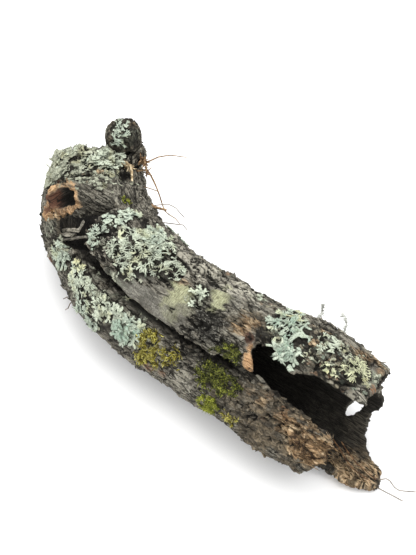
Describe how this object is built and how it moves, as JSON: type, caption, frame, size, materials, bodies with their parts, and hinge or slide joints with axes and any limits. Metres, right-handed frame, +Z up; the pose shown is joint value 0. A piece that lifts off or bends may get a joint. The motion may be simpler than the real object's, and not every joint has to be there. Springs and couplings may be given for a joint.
{
  "type": "cork branch",
  "caption": "Hollow, curled length of cork bark in the shape of a bent branch, split open along one side, with lichens, moss and roots.",
  "frame": {"origin": "middle of the whole branch's outline, on the surface that it lies on", "axes": "+X along the branch from the far end with the stub to the split near end, +Z up, -Y towards the side with the free edge"},
  "size_m": [0.3484, 0.1452, 0.0949],
  "materials": {
    "bark": "rough, grey-brown, furrowed along the grain",
    "weathered_wood": "dull, dark and weathered",
    "lichen": "dry, pale green, leafy",
    "moss": "soft, yellow-green",
    "root": "thin, orange-brown, fibrous"
  },
  "bodies": {
    "root": {"bark_tube": "bark", "side_branch": "bark", "branch_stub": "weathered_wood", "bark_strip_long": "bark", "bark_strip_short": "bark", "bark_chip": "bark", "lichen_stub": "lichen", "lichen_far_end": "lichen", "lichen_flap_tip": "lichen", "lichen_flap_edge": "lichen", "lichen_network": "lichen", "lichen_leaf": "lichen", "lichen_roof": "lichen", "lichen_dropping": "lichen", "lichen_roof_side": "lichen", "lichen_coral": "lichen", "lichen_lower_top": "lichen", "lichen_lower_cream": "lichen", "lichen_lower_small": "lichen", "lichen_lower_broad": "lichen", "lichen_lower_mint": "lichen", "lichen_lower_ring": "lichen", "lichen_back_upper": "lichen", "lichen_back_lower": "lichen", "moss_yellow": "moss", "moss_low": "moss", "moss_strands": "moss", "moss_bank": "moss", "moss_edge": "moss", "moss_tuft": "moss", "moss_end": "moss", "moss_spot": "moss", "root_long": "root", "root_hanging": "root", "root_knee": "root", "root_fork": "root", "root_tuft": "root", "root_slit": "root", "hair_upper": "root", "hair_lower": "root", "hair_left_upper": "root", "hair_left_lower": "root", "beard_far": "lichen", "beard_near": "lichen", "rootlet_long": "root", "rootlet_short": "root", "hair_near_low": "root", "hair_near_high": "root"}
  },
  "joints": []
}
